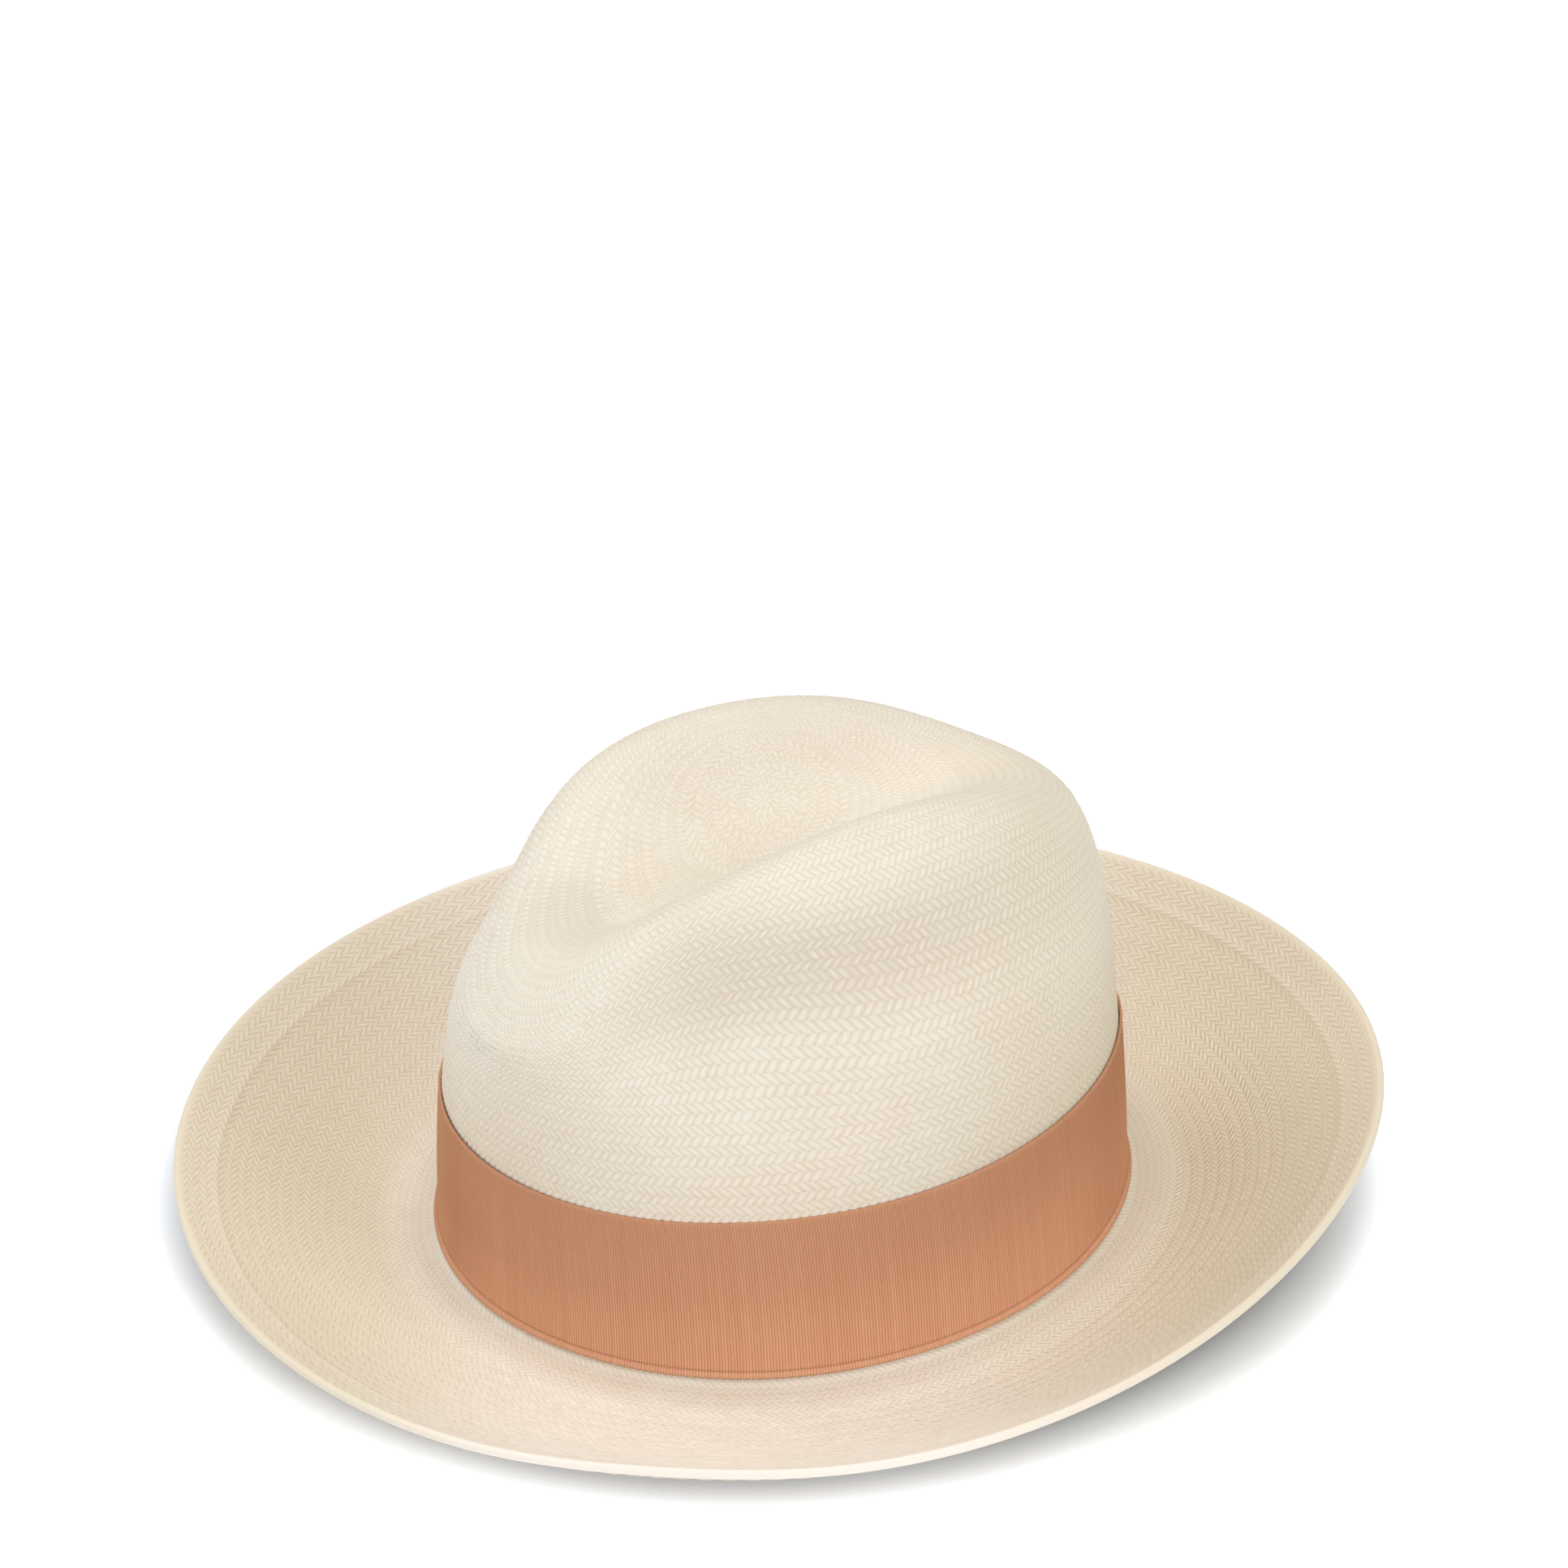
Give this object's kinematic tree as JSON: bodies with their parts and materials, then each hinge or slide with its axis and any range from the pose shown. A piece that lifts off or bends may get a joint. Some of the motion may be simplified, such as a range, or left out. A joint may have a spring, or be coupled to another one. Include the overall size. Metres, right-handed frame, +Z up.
{
  "type": "panama hat",
  "caption": "Wide-brimmed fedora woven from straw, with a creased and pinched crown, a grosgrain ribbon band with a flat side bow, and a leather sweatband inside.",
  "frame": {"origin": "bottom centre of the hat's box, on the plane that the flat ring of the brim rests on", "axes": "+Z up; the wearer faces -Y, so the crease runs front to back along Y; +X is the wearer's left"},
  "size_m": [0.331, 0.3388, 0.1337],
  "materials": {
    "straw": "woven bleached straw, dry satin",
    "straw_thread": "matt cotton thread",
    "ribbon": "ribbed grosgrain with a soft sheen",
    "ribbon_thread": "matt thread",
    "leather": "smooth natural leather",
    "reed": "translucent cord",
    "tape": "woven cotton tape",
    "satin": "satin ribbon",
    "tag": "blank woven tag"
  },
  "bodies": {
    "root": {"straw_body": "straw", "hem_thread": "straw_thread", "ribbon_band": "ribbon", "bow_tails": "ribbon", "bow_loops": "ribbon", "bow_knot": "ribbon", "ribbon_tack_front": "ribbon_thread", "ribbon_tack_back": "ribbon_thread", "sweatband": "leather", "sweatband_reed": "reed", "reed_tape": "tape", "sweatband_thread": "straw_thread", "body_thread": "straw_thread", "sweatband_seam_bow": "satin", "size_tag": "tag"}
  },
  "joints": []
}
